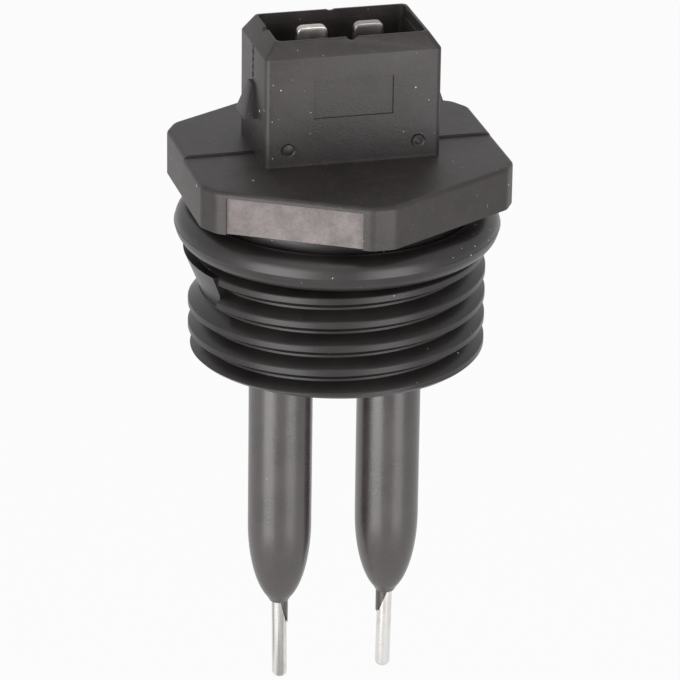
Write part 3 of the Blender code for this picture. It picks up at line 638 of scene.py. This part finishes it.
def makeRidge():
    section = ridgeSection()
    ridge = startPiece("threadRidge", bpy.ops.mesh.primitive_circle_add, vertices=len(section), radius=1,
                       fill_type="NOTHING")
    turnOff = 1.1  # keeps the ridge's facets off the core's
    turnsBelow = barrel["turns"] - 1  # below the first crest
    bottom = barrel["firstCrest"] - turnsBelow * barrel["pitch"] + barrel["pitch"] * turnOff / 360
    for v, (radius, height) in zip(ridge.data.vertices, section):
        v.co = (radius, 0, bottom + height)
    steps = barrel["around"] * barrel["turns"]
    rise = barrel["pitch"] * barrel["turns"]
    useModifier(ridge, "SCREW", angle=2 * pi * barrel["turns"], screw_offset=rise, steps=steps,
                render_steps=steps, use_smooth_shade=False)
    editSelect(ridge, "EDGE", lambda e: e.is_boundary)
    bpy.ops.mesh.edge_face_add()
    bpy.ops.mesh.select_all(action="SELECT")
    bpy.ops.mesh.quads_convert_to_tris()
    bpy.ops.mesh.normals_make_consistent(inside=False)
    leaveEdit(ridge)
    ridge.data.transform(Matrix.Rotation(radians(turnOff - 90), 4, "Z"))
    return ridge


def shoulderRadius(height):
    shoulder = barrel["shoulder"]
    return shoulder["radius"] - (shoulder["at"] - height) * shoulder["taper"]


def addShoulder(piece):  # the tapered shoulder on the left, behind which the first groove starts
    shoulder = barrel["shoulder"]
    inner, outer, over = barrel["radius"] - barrel["depth"] - 0.5 * mm, barrel["radius"] + 2 * mm, 0.1 * mm
    top, bottom = shoulder["top"], shoulder["bottom"]
    bearings = (shoulder["from"], shoulder["to"])
    filled = [(inner, top), (shoulderRadius(top) + over, top), (shoulderRadius(bottom) + over, bottom),
              (inner, bottom)]
    combine(piece, spunSolid("shoulderFill", filled, shoulder["around"], *bearings), "UNION")
    high, low = top + over, bottom - over
    trimmed = [(shoulderRadius(high), high), (outer, high), (outer, low), (shoulderRadius(low), low)]
    combine(piece, spunSolid("shoulderTrim", trimmed, shoulder["around"], *bearings), "DIFFERENCE")


def makeBarrel():
    around, end, r = barrel["around"], barrel["end"], barrel["radius"]
    root = r - barrel["depth"]
    piece = post("threadedBarrel", root, end - 1 * mm, barrel["top"], 0, around)
    combine(piece, makeRidge(), "UNION")
    addShoulder(piece)

    slope, outside = barrel["reliefSlope"], 15 * mm
    floorMiddle = -ring["drop"] - barrel["reliefGap"] * sqrt(1 + slope ** 2)
    ringMiddle = ring["outer"] - ring["section"]
    neck, above = barrel["neck"], 1.5 * mm
    relief = [(neck, above), (outside, above), (outside, floorMiddle - slope * (outside - ringMiddle)),
              (neck, floorMiddle + slope * (ringMiddle - neck))]
    combine(piece, spunSolid("ringRelief", relief, around), "DIFFERENCE")

    chamfer, beyond, below = barrel["endChamfer"], 2 * mm, end - 5 * mm
    rise, inside, outside, half = end + chamfer + beyond, 3 * mm, 16 * mm, 5 * mm
    trim = [(inside, end), (r - chamfer, end), (r + beyond, rise), (outside, rise), (outside, below),
            (inside, below)]
    endTrim = spunSolid("barrelEnd", trim, around - 12)  # its facets stay off the core's
    combine(piece, endTrim, "DIFFERENCE")
    combine(piece, block("coreEnd", (-half, -half, below), (half, half, end)), "DIFFERENCE")

    recess = barrel["recess"]
    hollow = post("endRecess", root - recess["wall"], end - 2 * mm, end + recess["depth"], 0, 144)
    for side in (-1, 1):
        x = side * rods["spacing"] / 2
        boss = post("endBoss", rods["radius"] + recess["boss"], end - 4 * mm, end + 4 * mm, x, 96)
        combine(hollow, boss, "DIFFERENCE")
    combine(piece, hollow, "DIFFERENCE")
    for side in (-1, 1):
        x, radius = side * rods["spacing"] / 2, rods["radius"] + rods["clearance"]
        combine(piece, post("sleeveBore", radius, end - 6.5 * mm, end + 1.5 * mm, x, 96), "DIFFERENCE")
    smoothBy(piece, 28)
    placePiece(piece, "thread", "threaded_barrel")


makeBarrel()
print("barrel made")

head = {
    "apothem": 13.8 * mm,
    "cornerCut": 0.57 * mm,
    "height": 3.8 * mm,
    "mismatch": 0.1 * mm,  # the back mould half is this much smaller
    "step": 0.2 * mm,  # and this much higher
    "topRound": 0.42 * mm,
    "cornerRound": 0.35 * mm,
    "pad": {"length": 12.0 * mm, "height": 3.3 * mm, "depth": 0.3 * mm, "bearing": -120},
}


def hexHalf(name, apothem, height, front):
    half = apothem * tan(radians(30)) - 2 * head["cornerCut"]
    corners = []
    for face in range(6):
        angle = radians(60 * face)
        normal, along = Vector((cos(angle), sin(angle))), Vector((-sin(angle), cos(angle)))
        corners += [normal * apothem - along * half, normal * apothem + along * half]
    piece = startPiece(name, bpy.ops.mesh.primitive_circle_add, vertices=12, radius=1, fill_type="NGON")
    for v, corner in zip(piece.data.vertices, corners):
        v.co = (corner.x, corner.y, 0)
    editSelect(piece, "FACE", lambda f: True)
    bpy.ops.mesh.extrude_region_move(TRANSFORM_OT_translate={"value": (0, 0, height)})
    bpy.ops.mesh.select_all(action="SELECT")
    bpy.ops.mesh.normals_make_consistent(inside=False)
    editSelect(piece, "EDGE", lambda e: abs(e.verts[0].co.z - e.verts[1].co.z) > height / 2)
    bpy.ops.mesh.bevel(offset=head["cornerRound"], segments=4, profile=0.5, affect="EDGES")
    editSelect(piece, "EDGE", lambda e: all(v.co.z > height - 0.01 * mm for v in e.verts)
               and any(abs(f.normal.z) < 0.5 for f in e.link_faces))
    bpy.ops.mesh.bevel(offset=head["topRound"], segments=6, profile=0.5, affect="EDGES")
    leaveEdit(piece)
    reach = 18 * mm
    low = (-reach, 0, -reach) if front else (-reach, -reach, -reach)
    high = (reach, reach, reach) if front else (reach, -0.02 * mm, reach)
    combine(piece, block("otherHalf", low, high), "DIFFERENCE")
    return piece


def makeHead():
    piece = hexHalf("sensorHousing", head["apothem"], head["height"], True)
    back = hexHalf("hexagonBack", head["apothem"] - head["mismatch"], head["height"] + head["step"], False)
    combine(piece, back, "UNION")
    pad = head["pad"]
    half = pad["length"] / 2
    cut = block("padCut", (-half, -pad["depth"], -1 * mm), (half, 2 * mm, pad["height"]))
    editSelect(cut, "EDGE", lambda e: all(v.co.y < 0 for v in e.verts))
    bpy.ops.mesh.bevel(offset=0.1 * mm, segments=2, profile=0.5, affect="EDGES")
    leaveEdit(cut)
    angle = radians(pad["bearing"])
    outwards = Matrix.Translation((head["apothem"] * cos(angle), head["apothem"] * sin(angle), 0))
    cut.data.transform(outwards @ Matrix.Rotation(angle - pi / 2, 4, "Z"))
    combine(piece, cut, "DIFFERENCE")
    return piece


socket = {
    "length": 15.55 * mm,
    "depth": 9.2 * mm,
    "shift": 0.225 * mm,
    "back": 0.4 * mm,
    "rim": 14.9 * mm,
    "chamfer": (1.0 * mm, 0.75 * mm, 1.4 * mm),
    "rimWidth": 0.25 * mm,
    "leadIn": (0.20 * mm, 0.85 * mm),
    "corner": 0.5 * mm,
    "floor": 5.6 * mm,
    "lug": {"width": 3.2 * mm, "topWidth": 1.2 * mm, "proud": 1.15 * mm, "topProud": 0.3 * mm,
            "bottom": 7.3 * mm, "top": 10.2 * mm},
    "panel": {"length": 7.0 * mm, "bottom": 8.0 * mm, "top": 11.45 * mm, "sink": 0.15 * mm},
    "marks": {"spacing": 11.5 * mm, "height": 5.35 * mm, "radius": 0.6 * mm, "proud": 0.15 * mm,
              "dome": ((0.12, 0.12), (0.14, -0.05), (0.14, -0.05)),  # inset and push of each step, in mm
              "ring": ((0.13, 0.12), (0.15, 0.0), (0.10, -0.09))},
    "nicks": {"radius": 0.55 * mm, "front": 0.34 * mm, "back": 0.16 * mm, "left": 0.26 * mm, "right": 0.22 * mm,
              "rightShift": 2.4 * mm},
    "flash": {"width": 0.16 * mm, "proud": 0.10 * mm, "from": 10.0 * mm, "to": 13.4 * mm, "pieces": 26},
}


def isUpright(edge):
    return abs(edge.verts[0].co.z - edge.verts[1].co.z) > 1.2 * mm


def socketShell():
    cx, cy = socket["shift"], socket["back"]
    hx, hy = socket["length"] / 2, socket["depth"] / 2
    endRun, sideRun, rise = socket["chamfer"]
    shoulder = socket["rim"] - rise
    piece = block("plugSocket", (cx - hx, cy - hy, 3.3 * mm), (cx + hx, cy + hy, shoulder))
    editSelect(piece, "EDGE", isUpright)
    bpy.ops.mesh.bevel(offset=socket["corner"], segments=5, profile=0.45, affect="EDGES")
    editSelect(piece, "FACE", lambda f: f.normal.z > 0.9)
    bpy.ops.mesh.extrude_region_move(TRANSFORM_OT_translate={"value": (0, 0, rise)})
    narrow = ((hx - endRun) / hx, (hy - sideRun) / hy, 1)
    bpy.ops.transform.resize(value=narrow, center_override=(cx, cy, socket["rim"]))
    editSelect(piece, "EDGE", lambda e: all(v.co.z > shoulder - 0.01 * mm for v in e.verts)
               and abs(e.verts[0].co.z - e.verts[1].co.z) < 0.01 * mm)
    bpy.ops.mesh.bevel(offset=0.08 * mm, segments=3, profile=0.5, affect="EDGES")
    leaveEdit(piece)
    mouthX, mouthY = hx - endRun - socket["rimWidth"], hy - sideRun - socket["rimWidth"]
    step, ledge = socket["leadIn"]
    for inset, low in ((step, socket["floor"]), (0, socket["rim"] - ledge)):
        x, y = mouthX - inset, mouthY - inset
        cavity = block("socketCavity", (cx - x, cy - y, low), (cx + x, cy + y, 18 * mm))
        editSelect(cavity, "EDGE", isUpright)
        bpy.ops.mesh.bevel(offset=socket["corner"], segments=4, profile=0.5, affect="EDGES")
        combine(piece, leaveEdit(cavity), "DIFFERENCE")
    return piece


def addLug(piece, side):  # latch ramp: thin and narrow at the top, square underneath
    lug, cx, cy = socket["lug"], socket["shift"], socket["back"]
    wall = socket["length"] / 2
    half = lug["width"] / 2
    low, high = sorted((cx + side * (wall - 0.5 * mm), cx + side * (wall + lug["proud"])))
    ramp = block("latchRamp", (low, cy - half, lug["bottom"]), (high, cy + half, lug["top"]))
    editSelect(ramp, "FACE", lambda f: f.normal.z > 0.9)
    narrow = (1, lug["topWidth"] / lug["width"], 1)
    bpy.ops.transform.resize(value=narrow, center_override=(0, cy, lug["top"]))
    editSelect(ramp, "VERT", lambda v: v.co.z > lug["top"] - 0.01 * mm and abs(v.co.x - cx) > wall)
    bpy.ops.transform.translate(value=(side * (lug["topProud"] - lug["proud"]), 0, 0))
    editSelect(ramp, "EDGE", lambda e: any(abs(v.co.x - cx) > wall for v in e.verts))
    bpy.ops.mesh.bevel(offset=0.07 * mm, segments=2, profile=0.5, affect="EDGES")
    combine(piece, leaveEdit(ramp), "UNION")


def addMark(piece, side):  # left a domed pip, right a ring with a dot
    marks, front = socket["marks"], socket["back"] - socket["depth"] / 2
    sunk, proud = 1 * mm, marks["proud"]
    place = (socket["shift"] + side * marks["spacing"] / 2, front + (sunk - proud) / 2, marks["height"])
    mark = startPiece("frontMark", bpy.ops.mesh.primitive_cylinder_add, vertices=32, radius=marks["radius"],
                      depth=sunk + proud, location=place, rotation=(pi / 2, 0, 0))
    editSelect(mark, "FACE", lambda f: f.normal.y < -0.9)
    for narrow, push in marks["dome"] if side < 0 else marks["ring"]:
        bpy.ops.mesh.inset(thickness=narrow * mm)
        bpy.ops.transform.translate(value=(0, push * mm, 0))
    combine(piece, leaveEdit(mark), "UNION")


def addFlash(piece):  # the ragged parting flash up the left end, from the latch ramp to the chamfer
    flash, cx, cy = socket["flash"], socket["shift"], socket["back"]
    wall = cx - socket["length"] / 2
    run = (flash["to"] - flash["from"]) / flash["pieces"]
    strip = block("partingFlash", (wall - flash["proud"], cy - flash["width"] / 2, flash["from"]),
                  (wall + 0.2 * mm, cy + flash["width"] / 2, flash["to"]))
    editSelect(strip, "EDGE", isUpright)
    bpy.ops.mesh.subdivide(number_cuts=flash["pieces"] - 1)
    leaveEdit(strip)
    for v in strip.data.vertices:
        place = (v.co.z - flash["from"]) / run
        if v.co.x < wall:
            ragged = 0.5 + 0.5 * sin(place * 2.1) * sin(place * 0.9 + 1.3)
            v.co.x = wall - flash["proud"] * (0.12 + 0.88 * ragged)
            v.co.y += 0.05 * mm * sin(place * 1.7 + 0.4)
    combine(piece, strip, "UNION")


def makeSocket():
    cx, cy, rim = socket["shift"], socket["back"], socket["rim"]
    hx, hy = socket["length"] / 2, socket["depth"] / 2
    piece = socketShell()
    for side in (-1, 1):
        addLug(piece, side)
        addMark(piece, side)
    addFlash(piece)
    panel = socket["panel"]
    sunk = block("sunkPanel", (cx - panel["length"] / 2, cy - hy - 2 * mm, panel["bottom"]),
                 (cx + panel["length"] / 2, cy - hy + panel["sink"], panel["top"]))
    combine(piece, sunk, "DIFFERENCE")
    nicks = socket["nicks"]
    dents = ((cx, cy - hy, "front"), (cx, cy + hy, "back"), (cx - hx, cy, "left"),
             (cx + hx, cy + nicks["rightShift"], "right"))
    for x, y, where in dents:  # small dents across the rim
        turned = (0, pi / 2, 0) if where in ("left", "right") else (pi / 2, 0, 0)
        place = (x, y, rim + nicks["radius"] - nicks[where])
        cut = startPiece("rimNick", bpy.ops.mesh.primitive_cylinder_add, vertices=12, radius=nicks["radius"],
                         depth=3.2 * mm, location=place, rotation=turned)
        combine(piece, cut, "DIFFERENCE")
    for side in (-1, 1):
        x = side * blades["spacing"] / 2
        slot = block("bladeSlot", (x - 1.6 * mm, -0.7 * mm, 4.4 * mm), (x + 1.6 * mm, 0.7 * mm, 6.5 * mm))
        combine(piece, slot, "DIFFERENCE")
    return piece


blades = {"spacing": 5.0 * mm, "thick": 0.8 * mm, "tip": 15.0 * mm, "corner": 0.6 * mm, "bottom": 4.6 * mm,
          "width": {"left": 2.7 * mm, "right": 2.62 * mm}}


def makeBlade(side, word):
    x, tip, bottom = side * blades["spacing"] / 2, blades["tip"], blades["bottom"]
    half, thick = blades["width"][word] / 2, blades["thick"] / 2
    piece = block("bladeTerminal" + word.title(), (x - half, -thick, bottom), (x + half, thick, tip))
    editSelect(piece, "EDGE", lambda e: all(v.co.z > tip - 0.01 * mm for v in e.verts)
               and abs(e.verts[0].co.y - e.verts[1].co.y) > 0.5 * mm)
    bpy.ops.mesh.bevel(offset=blades["corner"], segments=5, profile=0.5, affect="EDGES")
    editSelect(piece, "EDGE", lambda e: abs(e.verts[0].co.y - e.verts[1].co.y) < 0.01 * mm)
    bpy.ops.mesh.bevel(offset=0.14 * mm, segments=3, profile=0.5, affect="EDGES")
    leaveEdit(piece)
    smoothBy(piece, 30)
    placePiece(piece, "tin", "blade_terminal_" + word)


def makeHousing():  # head and socket are one moulding
    piece = makeHead()
    combine(piece, makeSocket(), "UNION")
    smoothBy(piece, 30)
    placePiece(piece, "moulding", "sensor_housing")


makeHousing()
print("housing made")
makeBlade(-1, "left")
makeBlade(1, "right")
print("blades made")

floorPlace = (0, 0, studio["floorLevel"])
floor = startPiece("paleFloor", bpy.ops.mesh.primitive_plane_add, size=8, location=floorPlace)
floor.data.materials.append(materials["floor"])
